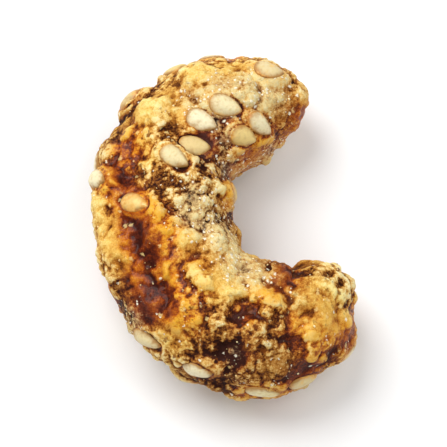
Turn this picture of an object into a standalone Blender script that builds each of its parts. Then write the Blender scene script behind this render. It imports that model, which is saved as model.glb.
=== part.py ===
"""A caramelized cashew nut with sesame seeds, lying on its side.

The nut is one solid: a thick C-shaped kernel under a lumpy sugar crust, with sesame seeds sunk
into the caramel. It lies on the low spots of the crust that set flat against the tray.
+X points to the open side of the C, +Y to the slim upper arm, +Z up from the tray.
The origin is on the tray, under the middle of the nut's box.

A place on the nut is given as a share along the centre line, from 0 at the upper tip to 1 at the
lower tip, and as degrees round the section: 0 is the outer side, 90 the top, 180 the notch.
A share past 0 or 1 goes on round the blunt end, by as many degrees as CAP_DEGREES says.
"""
import math
import random

import bmesh
import bpy
import numpy as np
from mathutils import Matrix, Vector
from mathutils.bvhtree import BVHTree

MM = 0.001

# The kernel's centre line in plan, from the tip of the upper arm round to the tip of the lower arm.
# Each station is x, y, height of the centre line, half width in plan and half height, in millimetres.
KERNEL_STATIONS = (
    ("upper tip", 4.7, 11.7, 5.2, 2.7, 2.7),
    ("upper arm", 2.0, 11.1, 5.0, 4.4, 4.2),
    ("upper bend", -1.8, 9.7, 5.1, 5.0, 4.8),
    ("shoulder", -4.3, 6.2, 5.4, 5.3, 5.1),
    ("back", -4.7, 1.5, 5.6, 5.6, 5.3),
    ("hip", -3.8, -3.4, 5.6, 5.7, 5.3),
    ("lower bend", -1.0, -7.6, 5.5, 5.6, 5.2),
    ("lower arm", 3.1, -9.4, 5.3, 5.2, 5.0),
    ("lower wrist", 6.4, -8.5, 5.0, 4.4, 4.4),
    ("lower tip", 7.9, -7.2, 4.9, 3.4, 3.6),
)
PLAN_SHIFT = (-0.36, -0.53)  # millimetres that centre the finished nut over the origin
SECTION_POWER = 2.2          # 2 is an ellipse; a little more squares the section off
RINGS_PER_SPAN = 8
CAP_RINGS = 6
SECTION_SIDES = 32
CAP_DEGREES = 900            # degrees round the blunt end for each whole share past it
SKIN_CELL = 0.74 * MM        # side of the even faces that the crust is raised on

# The crust's random lumps: broad swellings, with knobs of sugar on top of them.
SWELLINGS = 30
SWELLING_RADIUS = (2.6, 4.2)    # millimetres, as are the other lump sizes
SWELLING_HEIGHT = (0.4, 1.0)
KNOBS = 210
KNOB_RADIUS = (0.9, 1.8)
KNOB_HEIGHT = (0.35, 0.95)
LUMP_POWER = 1.1             # below 1 is a rounder lump with a deeper crease beside it
LUMP_SHARES = (-0.08, 1.08)  # the stretch of the nut that the lumps fall on
CRUST_SEED = 11

# The knobs that show most: share along, degrees round, radius and height in millimetres.
LARGE_KNOBS = (
    (0.03, 100, 2.0, 0.9),
    (0.19, 52, 2.2, 1.1),
    (0.29, 58, 2.3, 1.2),
    (0.43, 160, 1.7, 1.1),
    (0.65, 63, 2.0, 1.2),
    (0.80, 105, 1.6, 1.1),
    (0.87, 136, 1.7, 1.2),
    (0.98, 86, 2.6, 1.1),
)
# Hollows where dark caramel gathered, given in the same way.
HOLLOWS = (
    (0.34, 118, 1.8, 0.5),
    (0.73, 92, 1.6, 0.8),
    (0.73, 48, 2.2, 0.7),
    (0.85, 60, 1.6, 0.5),
)

# Where the two halves of the kernel meet, the crust dips in a long groove and rises beside it.
GROOVE_SPAN = (0.33, 0.66)   # its ends, as shares along
GROOVE_ROUND = 58            # degrees round of its bed
GROOVE_HALF_WIDTH = 1.5      # millimetres
GROOVE_DEPTH = 0.8
RIM_ROUND = 24               # degrees round of the rim beside it
RIM_HALF_WIDTH = 1.3
RIM_HEIGHT = 0.6
RIDGE_LUMPS = 40             # lumps in a row that run together as the groove, and as its rim

# Sesame seeds.
SEED_LENGTH = 2.9 * MM
SEED_WIDTH = 1.85 * MM
SEED_THICKNESS = 0.95 * MM
SEED_TAPER = 0.24            # how much slimmer the pointed end is
SEED_RINGS = 6
SEED_SIDES = 8
SEED_PROUD = 0.05 * MM       # the seed's middle above the crust
# Share along, degrees round and heading in degrees from the centre line.
SEEDS = (
    (0.250, 103, 112),
    (0.170, 100, 149),
    (0.131, 140, 143),
    (0.320, 113, 113),
    (0.372, 98, 63),
    (0.085, 128, 123),
    (0.020, 62, 170),
    (0.410, 168, 95),
    (0.461, 62, 64),
    (0.633, 13, 28),
    (0.713, 19, 33),
    (0.791, 4, -2),
    (0.845, 0, 12),
)
SCATTERED_SEEDS = 15
SCATTER_ROUND = (-160, 32)   # the band of the section that they fall on
SCATTER_LEAST_Z = 1.9 * MM   # so that none is crushed against the tray
SCATTER_GAP = 4.0 * MM       # least distance between seeds
SCATTER_SEED = 5
BARE_FROM = (0.55, -25)      # past this share and above this many degrees, none are scattered

TRAY_SIZE = 60 * MM          # the block below z = 0 that the foot is cut against

CRUST_COLOUR = (0.56, 0.27, 0.07, 1.0)
CRUST_ROUGHNESS = 0.45
SEED_COLOUR = (0.78, 0.66, 0.42, 1.0)
SEED_ROUGHNESS = 0.55


def clear_scene():
    for old in list(bpy.data.objects):
        bpy.data.objects.remove(old)


def catmull_rom(points, steps):
    """A smooth curve through the points, with this many steps to each span."""
    before = 2 * points[0] - points[1]
    after = 2 * points[-1] - points[-2]
    knots = np.vstack([before, points, after])
    curve = []
    for a, b, c, d in zip(knots, knots[1:], knots[2:], knots[3:]):
        for step in range(steps):
            t = step / steps
            curve.append(
                0.5 * (2 * b + (c - a) * t + (2 * a - 5 * b + 4 * c - d) * t**2
                       + (3 * b - a - 3 * c + d) * t**3)
            )
    curve.append(points[-1])
    return np.array(curve)


def centre_line():
    """Centres, tangents, outward and upward directions, half widths and half heights."""
    stations = np.array([numbers for _, *numbers in KERNEL_STATIONS]) * MM
    stations[:, :2] += np.array(PLAN_SHIFT) * MM
    curve = catmull_rom(stations, RINGS_PER_SPAN)
    centres = curve[:, :3]
    tangents = np.gradient(centres, axis=0)
    tangents /= np.linalg.norm(tangents, axis=1)[:, None]
    outward = np.cross(tangents, (0, 0, 1))
    outward /= np.linalg.norm(outward, axis=1)[:, None]
    upward = np.cross(outward, tangents)
    return centres, tangents, outward, upward, curve[:, 3], curve[:, 4]


def section(angle):
    """A point of the unit section at this angle."""
    power = 2 / SECTION_POWER
    c, s = math.cos(angle), math.sin(angle)
    return math.copysign(abs(c) ** power, c), math.copysign(abs(s) ** power, s)


def closed_mesh(name, loops, tips):
    """A mesh over loops of points in a row, closed by a tip before the first and after the last."""
    mesh = bmesh.new()
    corners = [[mesh.verts.new(point) for point in loop] for loop in loops]
    for near, far in zip(corners, corners[1:]):
        for side in range(len(near)):
            mesh.faces.new((near[side - 1], near[side], far[side], far[side - 1]))
    for tip, loop in zip(tips, (corners[0], corners[-1])):
        point = mesh.verts.new(tip)
        for side in range(len(loop)):
            mesh.faces.new((point, loop[side - 1], loop[side]))
    bmesh.ops.recalc_face_normals(mesh, faces=mesh.faces)
    data = bpy.data.meshes.new(name)
    mesh.to_mesh(data)
    mesh.free()
    return data


def smooth_kernel():
    """The kernel without its crust, swept along the centre line."""
    centres, tangents, outward, upward, widths, heights = centre_line()
    unit = [section(2 * math.pi * side / SECTION_SIDES) for side in range(SECTION_SIDES)]
    cap_angles = [math.pi / 2 * step / CAP_RINGS for step in range(1, CAP_RINGS)]
    rings = [(0, -angle) for angle in cap_angles[::-1]]
    rings += [(row, 0) for row in range(len(centres))]
    rings += [(len(centres) - 1, angle) for angle in cap_angles]
    loops = []
    for row, cap in rings:
        centre = centres[row] + tangents[row] * widths[row] * math.sin(cap)
        across = outward[row] * widths[row] * math.cos(cap)
        up = upward[row] * heights[row] * math.cos(cap)
        loops.append([centre + across * c + up * s for c, s in unit])
    tips = [centres[row] + tangents[row] * widths[row] * way for row, way in ((0, -1), (-1, 1))]
    return closed_mesh("kernel", loops, tips)


def tree_of(data):
    """The mesh as a tree that rays can be cast at."""
    shape = bmesh.new()
    shape.from_mesh(data)
    tree = BVHTree.FromBMesh(shape)
    shape.free()
    return tree


def seat(tree, share, degrees):
    """The point of the smooth kernel there, its normal and the direction of the centre line."""
    centres, tangents, outward, upward, _, _ = centre_line()
    inside = min(max(share, 0), 1)
    row = round(inside * (len(centres) - 1))
    angle = math.radians(degrees)
    lean = math.radians((share - inside) * CAP_DEGREES)
    way = outward[row] * math.cos(angle) + upward[row] * math.sin(angle)
    way = way * math.cos(lean) + tangents[row] * math.sin(lean)
    point, normal, _, _ = tree.ray_cast(Vector(centres[row]), Vector(way))
    return point, normal, Vector(tangents[row])


def lumps(tree, rows):
    """Centres, radii and heights of the lumps listed as share, degrees, radius and height."""
    centres = np.array([seat(tree, share, degrees)[0] for share, degrees, _, _ in rows])
    radii = np.array([radius for _, _, radius, _ in rows]) * MM
    heights = np.array([height for _, _, _, height in rows]) * MM
    return centres, radii, heights


def random_rows(draw, count, radius, height):
    return [(draw.uniform(*LUMP_SHARES), draw.uniform(-180, 180), draw.uniform(*radius),
             draw.uniform(*height)) for _ in range(count)]


def ridge_rows(degrees, half_width, height):
    """Lumps in a row along the groove, low at its two ends."""
    first, last = GROOVE_SPAN
    rows = []
    for step in range(1, RIDGE_LUMPS):
        run = step / RIDGE_LUMPS
        rows.append((first + (last - first) * run, degrees, half_width,
                     height * math.sqrt(math.sin(math.pi * run))))
    return rows


def relief(points, centres, radii, heights):
    """The highest lump over each point, so that neighbours meet in a crease."""
    highest = np.zeros(len(points))
    for centre, radius, height in zip(centres, radii, heights):
        share = np.sum((points - centre) ** 2, axis=1) / radius**2
        highest = np.maximum(highest, height * np.clip(1 - share, 0, 1) ** LUMP_POWER)
    return highest


def crust_layers(tree):
    """The layers of lumps that are added up, and those of hollows that are taken away."""
    draw = random.Random(CRUST_SEED)
    swellings = random_rows(draw, SWELLINGS, SWELLING_RADIUS, SWELLING_HEIGHT)
    knobs = random_rows(draw, KNOBS, KNOB_RADIUS, KNOB_HEIGHT) + list(LARGE_KNOBS)
    rim = ridge_rows(RIM_ROUND, RIM_HALF_WIDTH, RIM_HEIGHT)
    groove = ridge_rows(GROOVE_ROUND, GROOVE_HALF_WIDTH, GROOVE_DEPTH)
    raised = [lumps(tree, rows) for rows in (swellings, knobs, rim)]
    sunk = [lumps(tree, rows) for rows in (groove, list(HOLLOWS))]
    return raised, sunk


def crust_height(points, layers):
    """Height of the crust over the smooth kernel at each point."""
    raised, sunk = layers
    return sum(relief(points, *layer) for layer in raised) - sum(
        relief(points, *layer) for layer in sunk)


def even_skin(data):
    """The same shape in even faces, which the crust is then raised on."""
    body = bpy.data.objects.new("caramelized_cashew", data)
    bpy.context.scene.collection.objects.link(body)
    remesh = body.modifiers.new("even faces", "REMESH")
    remesh.mode = "VOXEL"
    remesh.voxel_size = SKIN_CELL
    apply_modifiers(body)
    return body


def apply_modifiers(body):
    bpy.context.view_layer.update()
    graph = bpy.context.evaluated_depsgraph_get()
    made = bpy.data.meshes.new_from_object(body.evaluated_get(graph))
    body.modifiers.clear()
    body.data = made


def raise_crust(body, layers):
    """Moves each point of the skin out by the height of the crust there."""
    size = len(body.data.vertices) * 3
    points = np.empty(size)
    normals = np.empty(size)
    body.data.vertices.foreach_get("co", points)
    body.data.vertex_normals.foreach_get("vector", normals)
    points = points.reshape(-1, 3)
    raised = points + normals.reshape(-1, 3) * crust_height(points, layers)[:, None]
    body.data.vertices.foreach_set("co", raised.ravel())
    body.data.update()


def sesame_seed_mesh():
    """One flattened egg-shaped seed, its slim end at +X."""
    turns = [2 * math.pi * side / SEED_SIDES for side in range(SEED_SIDES)]
    loops = []
    for ring in range(1, SEED_RINGS):
        angle = math.pi * ring / SEED_RINGS
        slim = math.sin(angle) * (1 - SEED_TAPER * math.cos(angle))
        loops.append([(
            SEED_LENGTH / 2 * math.cos(angle),
            SEED_WIDTH / 2 * slim * math.cos(turn),
            SEED_THICKNESS / 2 * slim * math.sin(turn),
        ) for turn in turns])
    return closed_mesh("sesame_seed", loops, ((SEED_LENGTH / 2, 0, 0), (-SEED_LENGTH / 2, 0, 0)))


def seed_places(tree):
    """Share, degrees and heading of every seed: the ones by hand, then the scattered ones."""
    places = list(SEEDS)
    taken = [seat(tree, share, degrees)[0] for share, degrees, _ in places]
    draw = random.Random(SCATTER_SEED)
    while len(places) < len(SEEDS) + SCATTERED_SEEDS:
        share = draw.random()
        degrees = draw.uniform(*SCATTER_ROUND)
        heading = draw.uniform(0, 180)
        if share > BARE_FROM[0] and degrees > BARE_FROM[1]:
            continue
        point = seat(tree, share, degrees)[0]
        clear = all((point - other).length > SCATTER_GAP for other in taken)
        if clear and point.z > SCATTER_LEAST_Z:
            taken.append(point)
            places.append((share, degrees, heading))
    return places


def lay_seeds(tree, layers, data):
    """A collection of seeds, each lying on the crust."""
    seeds = bpy.data.collections.new("sesame_seeds")
    bpy.context.scene.collection.children.link(seeds)
    for number, (share, degrees, heading) in enumerate(seed_places(tree)):
        point, normal, tangent = seat(tree, share, degrees)
        along = (tangent - normal * tangent.dot(normal)).normalized()
        along = Matrix.Rotation(math.radians(heading), 3, normal) @ along
        turn = Matrix((along, normal.cross(along), normal)).transposed().to_4x4()
        rise = crust_height(np.array([point]), layers)[0] + SEED_PROUD
        seed = bpy.data.objects.new(f"sesame_{number:02d}", data)
        seed.matrix_world = Matrix.Translation(point + normal * rise) @ turn
        seeds.objects.link(seed)
    return seeds


def join_seeds(body, seeds):
    """Fuses the seeds with the crust they are sunk in, then removes the loose ones."""
    union = body.modifiers.new("seeds in the caramel", "BOOLEAN")
    union.operation = "UNION"
    union.operand_type = "COLLECTION"
    union.collection = seeds
    union.material_mode = "TRANSFER"
    apply_modifiers(body)
    for seed in list(seeds.objects):
        bpy.data.objects.remove(seed)
    bpy.data.collections.remove(seeds)


def flatten_foot(body):
    """Cuts the crust flat where it set against the tray."""
    bpy.ops.mesh.primitive_cube_add(size=TRAY_SIZE, location=(0, 0, -TRAY_SIZE / 2))
    tray = bpy.context.object
    tray.name = "tray_cutter"
    tray.hide_render = True
    tray.display_type = "WIRE"
    cut = body.modifiers.new("flat foot", "BOOLEAN")
    cut.operation = "DIFFERENCE"
    cut.solver = "MANIFOLD"  # the exact solver loses most of this crust
    cut.object = tray


def plain_material(name, colour, roughness):
    material = bpy.data.materials.new(name)
    material.use_nodes = True
    shader = material.node_tree.nodes["Principled BSDF"]
    shader.inputs["Base Color"].default_value = colour
    shader.inputs["Roughness"].default_value = roughness
    shader.inputs["Metallic"].default_value = 0.0
    return material


def main():
    clear_scene()
    kernel = smooth_kernel()
    tree = tree_of(kernel)
    layers = crust_layers(tree)
    body = even_skin(kernel)
    body.data.materials.append(plain_material("caramel_crust", CRUST_COLOUR, CRUST_ROUGHNESS))
    raise_crust(body, layers)
    seed = sesame_seed_mesh()
    seed.materials.append(plain_material("sesame_seed", SEED_COLOUR, SEED_ROUGHNESS))
    join_seeds(body, lay_seeds(tree, layers, seed))
    flatten_foot(body)
    body.data.shade_smooth()


main()
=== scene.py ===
# %% [markdown]
# # A caramelized cashew nut with sesame seeds
# A cashew kernel is tumbled in hot caramel with sesame seeds. Sugar dries on it in pale lumps, the
# caramel cooks dark between them, and the seeds set where they stick. Everything on the nut is
# irregular, but each thing follows a rule, so this lesson makes it by rules, from large to small: a
# bend, lumps on the bend, pebbles on the lumps, grain on the pebbles, and a colour that follows from
# how high each place lies.

# %% [markdown]
# ## The frame
# The nut's plain solid model is loaded first and never moves. Every piece made here lies in the same
# frame, in metres: +X towards the open side of the C, +Y towards the slim upper arm, +Z up from the
# table.

# %% Load the frame
import math
import random

import bmesh
import bpy
import numpy as np
from mathutils import Matrix, Vector
from mathutils import noise as field
from mathutils.bvhtree import BVHTree


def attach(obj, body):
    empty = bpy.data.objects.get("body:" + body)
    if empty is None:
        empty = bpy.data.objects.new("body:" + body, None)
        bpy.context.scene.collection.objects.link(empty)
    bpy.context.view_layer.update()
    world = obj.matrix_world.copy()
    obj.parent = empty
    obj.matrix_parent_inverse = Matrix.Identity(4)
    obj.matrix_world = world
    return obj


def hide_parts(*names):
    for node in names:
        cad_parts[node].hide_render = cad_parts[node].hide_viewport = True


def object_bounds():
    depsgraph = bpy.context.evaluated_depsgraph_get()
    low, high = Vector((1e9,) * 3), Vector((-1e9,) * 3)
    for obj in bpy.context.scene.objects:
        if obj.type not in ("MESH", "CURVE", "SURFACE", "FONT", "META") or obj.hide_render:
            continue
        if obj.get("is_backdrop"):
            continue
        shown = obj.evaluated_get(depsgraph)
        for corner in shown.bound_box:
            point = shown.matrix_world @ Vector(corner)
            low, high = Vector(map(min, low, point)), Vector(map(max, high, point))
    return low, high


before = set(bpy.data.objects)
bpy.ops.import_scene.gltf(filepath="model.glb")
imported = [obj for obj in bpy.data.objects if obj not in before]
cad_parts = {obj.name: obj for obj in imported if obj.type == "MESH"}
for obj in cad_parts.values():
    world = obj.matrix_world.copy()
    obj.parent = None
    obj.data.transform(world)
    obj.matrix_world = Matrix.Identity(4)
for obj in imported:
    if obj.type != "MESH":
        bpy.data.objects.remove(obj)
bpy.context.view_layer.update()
print("solid models in the frame:", list(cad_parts))

# %% [markdown]
# ## The kernel's bend
# Under its crust the nut is a bent, slightly flattened tube with round ends. It could be sculpted by
# hand, but then nobody could change it. Instead its centre line runs smoothly through ten stations, and
# each station says how wide and how high the kernel is there. These are the stations of the solid model.

# %% The stations of the centre line
MM = 0.001
# Each station is x, y, height of the centre line, half width in plan and half height, in millimetres.
KERNEL_STATIONS = (
    ("upper tip", 4.7, 11.7, 5.2, 2.7, 2.7),
    ("upper arm", 2.0, 11.1, 5.0, 4.4, 4.2),
    ("upper bend", -1.8, 9.7, 5.1, 5.0, 4.8),
    ("shoulder", -4.3, 6.2, 5.4, 5.3, 5.1),
    ("back", -4.7, 1.5, 5.6, 5.6, 5.3),
    ("hip", -3.8, -3.4, 5.6, 5.7, 5.3),
    ("lower bend", -1.0, -7.6, 5.5, 5.6, 5.2),
    ("lower arm", 3.1, -9.4, 5.3, 5.2, 5.0),
    ("lower wrist", 6.4, -8.5, 5.0, 4.4, 4.4),
    ("lower tip", 7.9, -7.2, 4.9, 3.4, 3.6),
)
PLAN_SHIFT = (-0.36, -0.53)  # millimetres that centre the nut over the frame's origin
SECTION_POWER = 2.2          # 2 is an ellipse; a little more squares the section off
RINGS_PER_SPAN = 8           # between one station and the next
CAP_RINGS = 6                # in the dome over each end
SECTION_SIDES = 32
CAP_DEGREES = 900            # degrees round the blunt end for each whole share past it


def catmull_rom(points, steps):
    """A smooth curve through the points, with this many steps to each span."""
    knots = np.vstack([2 * points[0] - points[1], points, 2 * points[-1] - points[-2]])
    t = (np.arange(steps) / steps)[:, None]
    spans = [
        0.5 * (2 * b + (c - a) * t + (2 * a - 5 * b + 4 * c - d) * t**2
               + (3 * b - a - 3 * c + d) * t**3)
        for a, b, c, d in zip(knots, knots[1:], knots[2:], knots[3:])
    ]
    return np.vstack([*spans, points[-1]])


def unit(rows):
    """The rows, each made one long."""
    return rows / np.linalg.norm(rows, axis=1)[:, None]


stations = np.array([numbers for _, *numbers in KERNEL_STATIONS]) * MM
stations[:, :2] += np.array(PLAN_SHIFT) * MM
curve = catmull_rom(stations, RINGS_PER_SPAN)
CENTRES = curve[:, :3]
HALF_WIDTHS, HALF_HEIGHTS = curve[:, 3:].T
TANGENTS = unit(np.gradient(CENTRES, axis=0))
OUTWARD = unit(np.cross(TANGENTS, (0, 0, 1)))
UPWARD = np.cross(OUTWARD, TANGENTS)
length = np.linalg.norm(np.diff(CENTRES, axis=0), axis=1).sum()
print(f"the centre line is {length / MM:.1f} mm long")

# %% [markdown]
# A ring of points round each place on the centre line, joined to the next ring, gives the kernel's skin.
# At the ends the rings shrink along a quarter circle, which closes them in a round dome.

# %% Sweep the smooth kernel
def section(side):
    """A point of the unit section."""
    angle = 2 * math.pi * side / SECTION_SIDES
    return [math.copysign(abs(v) ** (2 / SECTION_POWER), v) for v in (math.cos(angle), math.sin(angle))]


def ring_points(row, cap):
    """The ring round the centre line there, moved and shrunk by an angle along the dome."""
    centre = CENTRES[row] + TANGENTS[row] * HALF_WIDTHS[row] * math.sin(cap)
    across = OUTWARD[row] * HALF_WIDTHS[row] * math.cos(cap)
    up = UPWARD[row] * HALF_HEIGHTS[row] * math.cos(cap)
    return [centre + across * c + up * s for c, s in map(section, range(SECTION_SIDES))]


cap_angles = [math.pi / 2 * step / CAP_RINGS for step in range(1, CAP_RINGS)]
last = len(CENTRES) - 1
rings = [(0, -angle) for angle in cap_angles[::-1]]
rings += [(row, 0) for row in range(last + 1)]
rings += [(last, angle) for angle in cap_angles]
mesh = bmesh.new()
loops = [[mesh.verts.new(point) for point in ring_points(*ring)] for ring in rings]
for near, far in zip(loops, loops[1:]):
    for side in range(SECTION_SIDES):
        mesh.faces.new((near[side - 1], near[side], far[side], far[side - 1]))
for row, way, loop in ((0, -1, loops[0]), (last, 1, loops[-1])):
    tip = mesh.verts.new(CENTRES[row] + TANGENTS[row] * HALF_WIDTHS[row] * way)
    for side in range(SECTION_SIDES):
        mesh.faces.new((tip, loop[side - 1], loop[side]))
bmesh.ops.recalc_face_normals(mesh, faces=mesh.faces)
kernel = bpy.data.meshes.new("kernel")
mesh.to_mesh(kernel)
KERNEL_TREE = BVHTree.FromBMesh(mesh)  # rays can be cast at this form of the mesh
mesh.free()
print("the smooth kernel has", len(kernel.polygons), "faces")

# %% [markdown]
# ## Naming a place on the nut
# Lumps, seeds and patches of colour all have to be put somewhere on a bent body. Plain x, y, z numbers
# would be hard to read, so a place is a share along the centre line, from 0 at the upper tip to 1 at the
# lower tip, and degrees round the section: 0 is the outer side, 90 the top, 180 the notch. A ray from
# the centre line finds the point of the skin.

# %% Find places on the kernel
def seat(share, degrees):
    """The point of the smooth kernel there, its normal and the direction of the centre line."""
    inside = min(max(share, 0), 1)
    row = round(inside * (len(CENTRES) - 1))
    angle = math.radians(degrees)
    lean = math.radians((share - inside) * CAP_DEGREES)
    way = OUTWARD[row] * math.cos(angle) + UPWARD[row] * math.sin(angle)
    way = way * math.cos(lean) + TANGENTS[row] * math.sin(lean)
    point, normal, _, _ = KERNEL_TREE.ray_cast(Vector(CENTRES[row]), Vector(way))
    return point, normal, Vector(TANGENTS[row])


print("the top of the back is at", tuple(round(v / MM, 1) for v in seat(0.5, 90)[0]), "mm")

# %% [markdown]
# ## The lumps of the crust
# Sugar dries in lumps: broad swellings, and knobs on top of them. A noise texture could raise the skin,
# but noise has no creases, and the dark creases between round lumps are what makes this crust. So each
# lump is a dome with a place, a radius and a height, and where two overlap the higher one wins. The
# sizes and the seed of the random draw are those of the solid model, and so are the groove along the
# outer back, where the kernel's halves meet, and the rim beside it.

# %% List the lumps and hollows
LUMP_SHARES = (-0.08, 1.08)  # the stretch of the nut that the lumps fall on
ALL_ROUND = (-180, 180)
# How many are drawn, and between which degrees round, radii and heights in millimetres.
SWELLINGS = (30, ALL_ROUND, (2.6, 4.2), (0.4, 1.0))
KNOBS = (210, ALL_ROUND, (0.9, 1.8), (0.35, 0.95))
LUMP_POWER = 1.1             # below 1 is a rounder lump with a deeper crease beside it
CRUST_SEED = 11
# Share along, degrees round, radius, and height or depth, in millimetres.
LARGE_KNOBS = (
    (0.03, 100, 2.0, 0.9),
    (0.19, 52, 2.2, 1.1),
    (0.29, 58, 2.3, 1.2),
    (0.43, 160, 1.7, 1.1),
    (0.65, 63, 2.0, 1.2),
    (0.80, 105, 1.6, 1.1),
    (0.87, 136, 1.7, 1.2),
    (0.98, 86, 2.6, 1.1),
)
HOLLOWS = (
    (0.34, 118, 1.8, 0.5),
    (0.73, 92, 1.6, 0.8),
    (0.73, 48, 2.2, 0.7),
    (0.85, 60, 1.6, 0.5),
)
RIDGE_SPAN = (0.33, 0.66)    # the ends of the groove and of its rim, as shares along
RIDGE_LUMPS = 40             # steps of the row of lumps that run together
# Degrees round, half width, and height or depth, in millimetres.
RIM = (24, 1.3, 0.6)
GROOVE = (58, 1.5, 0.8)


def lumps(rows):
    """Centres, radii and heights of the lumps listed."""
    centres = np.array([seat(share, degrees)[0] for share, degrees, _, _ in rows])
    radii, heights = np.array(rows)[:, 2:].T * MM
    return centres, radii, heights


def random_rows(draw, count, *spans):
    """Rows of share, degrees, radius and height, each drawn between two numbers."""
    return [[draw.uniform(*span) for span in (LUMP_SHARES, *spans)] for _ in range(count)]


def ridge_rows(degrees, half_width, height):
    """Lumps in a row along the outer back, low at its two ends."""
    first, last = RIDGE_SPAN
    runs = [step / RIDGE_LUMPS for step in range(1, RIDGE_LUMPS)]
    return [(first + (last - first) * run, degrees, half_width,
             height * math.sqrt(math.sin(math.pi * run))) for run in runs]


draw = random.Random(CRUST_SEED)
swellings = random_rows(draw, *SWELLINGS)
knobs = [*random_rows(draw, *KNOBS), *LARGE_KNOBS]
RAISED = [lumps(rows) for rows in (swellings, knobs, ridge_rows(*RIM))]  # layers that are added up,
SUNK = [lumps(rows) for rows in (ridge_rows(*GROOVE), HOLLOWS)]          # and that are taken away
print("lumps in each raised layer:", [len(radii) for _, radii, _ in RAISED])

# %% Work out the height of the crust
PUSH_SIZE = 1.0 * MM         # of the clouds that push the lumps out of round
PUSH_AMOUNT = 0.6 * MM
FINER = 2.3                  # how many times finer the second clouds are, which count half
PUSH_OFFSETS = ((0.5, 0.2, 0.7), (31.4, 7.3, 11.9), (5.3, 42.1, 23.6))  # one for each way
GAP_ROUND = 0.3 * MM         # how widely syrup rounds the gaps between the knobs


def relief(points, centres, radii, heights):
    """The highest lump over each point, so that neighbours meet in a crease."""
    highest = np.zeros(len(points))
    for centre, radius, height in zip(centres, radii, heights):
        share = np.sum((points - centre) ** 2, axis=1) / radius**2
        highest = np.maximum(highest, height * np.clip(1 - share, 0, 1) ** LUMP_POWER)
    return highest


def cloud(place):
    """Smooth noise round zero, with half as much of a finer one on top."""
    return field.noise(place) + 0.5 * field.noise(FINER * place)


def pushed(points):
    """The points, pushed about, so that the lumps read there lose their round outlines."""
    offsets = [Vector(offset) for offset in PUSH_OFFSETS]
    push = [[cloud(Vector(point) / PUSH_SIZE + offset) for offset in offsets] for point in points]
    return points + PUSH_AMOUNT * np.array(push)


def crust_height(points):
    """Height of the crust over the smooth kernel at each point."""
    points = pushed(points)
    swellings, knobs, rim = (relief(points, *layer) for layer in RAISED)
    hollows = sum(relief(points, *layer) for layer in SUNK)
    rounded = np.hypot(knobs, GAP_ROUND) - GAP_ROUND
    return swellings + rounded + rim - hollows


def crust_place(share, degrees):
    """The point on top of the crust there, the kernel's normal and the centre line's direction."""
    point, normal, tangent = seat(share, degrees)
    return point + normal * crust_height(np.array([point]))[0], normal, tangent


bend = LARGE_KNOBS[4][:2]    # the place of the knob on the lower bend
thickness = (crust_place(*bend)[0] - seat(*bend)[0]).length
print(f"on the large knob of the lower bend the crust is {thickness / MM:.2f} mm thick")

# %% [markdown]
# ## Where the seeds lie
# Sesame seeds land by chance, but the eye finds the cluster on the upper arm at once, so thirteen seeds
# have their own places, and a seeded draw scatters the rest over the sides. A seed that lands too close
# to another, or where the nut meets the table, is drawn again. Every seed gets a point, a normal and a
# heading, and these three turn it.

# %% Place the sesame seeds
# Share along, degrees round, heading in degrees from the centre line, tint from 0, ivory, to 1, honey,
# and soak from 0, clean, to 1, covered by caramel.
SEEDS = (
    (0.250, 103, 112, 0.12, 0.00),
    (0.170, 100, 149, 0.30, 0.40),
    (0.138, 134, 143, 0.95, 0.35),
    (0.320, 113, 113, 0.80, 0.45),
    (0.372, 98, 63, 0.45, 0.25),
    (0.085, 128, 123, 0.20, 0.50),
    (0.020, 62, 170, 0.55, 0.60),
    (0.410, 168, 95, 0.90, 0.70),
    (0.461, 62, 64, 1.00, 1.00),
    (0.633, 13, 28, 0.50, 0.40),
    (0.713, 19, 33, 0.15, 0.10),
    (0.791, 4, -2, 0.35, 0.25),
    (0.845, 0, 12, 0.60, 0.50),
)
SCATTERED_SEEDS = 15
SCATTER_ROUND = (-160, 32)   # the band of the section that they fall on
SCATTER_LEAST_Z = 1.9 * MM   # so that none is crushed against the table
SCATTER_GAP = 4.0 * MM       # least distance between seeds
SCATTER_SEED = 5
BARE_FROM = (0.55, -25)      # past this share and above this many degrees, none are scattered
SEED_LENGTH = 2.9 * MM
SEED_WIDTH = 1.85 * MM
SEED_THICKNESS = 0.95 * MM
SEED_PROUD = 0.05 * MM       # the seed's middle above the crust
SOAK_PROUD = 0.3 * MM        # how much higher a soaked seed sits, on the caramel that drew up under it
SEED_TILT = 8.0              # degrees that a seed may lean, either way


def seed_pose(draw, share, degrees, heading, soak):
    """A matrix that sets a seed there: +X along the seed, +Z away from the crust."""
    point, normal, tangent = crust_place(share, degrees)
    along = (tangent - normal * tangent.dot(normal)).normalized()
    along = Matrix.Rotation(math.radians(heading), 3, normal) @ along
    turn = Matrix((along, normal.cross(along), normal)).transposed().to_4x4()
    for axis in "XY":
        lean = math.radians(draw.uniform(-SEED_TILT, SEED_TILT))
        turn = turn @ Matrix.Rotation(lean, 4, axis)
    return Matrix.Translation(point + normal * (SEED_PROUD + SOAK_PROUD * soak)) @ turn


SEED_ROWS = list(SEEDS)
taken = [seat(share, degrees)[0] for share, degrees, *_ in SEEDS]
draw = random.Random(SCATTER_SEED)
look_draw = random.Random(SCATTER_SEED)
while len(SEED_ROWS) < len(SEEDS) + SCATTERED_SEEDS:
    share, degrees, heading = draw.random(), draw.uniform(*SCATTER_ROUND), draw.uniform(0, 180)
    point = seat(share, degrees)[0]
    bare = share > BARE_FROM[0] and degrees > BARE_FROM[1]
    clear = all((point - other).length > SCATTER_GAP for other in taken)
    if clear and not bare and point.z > SCATTER_LEAST_Z:
        taken.append(point)
        SEED_ROWS.append((share, degrees, heading, look_draw.random(), look_draw.random() ** 2))
tilt_draw = random.Random(SCATTER_SEED)
SEED_POSES = [seed_pose(tilt_draw, share, degrees, heading, soak)
              for share, degrees, heading, _, soak in SEED_ROWS]
print(len(SEED_POSES), "sesame seeds have their places")

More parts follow.
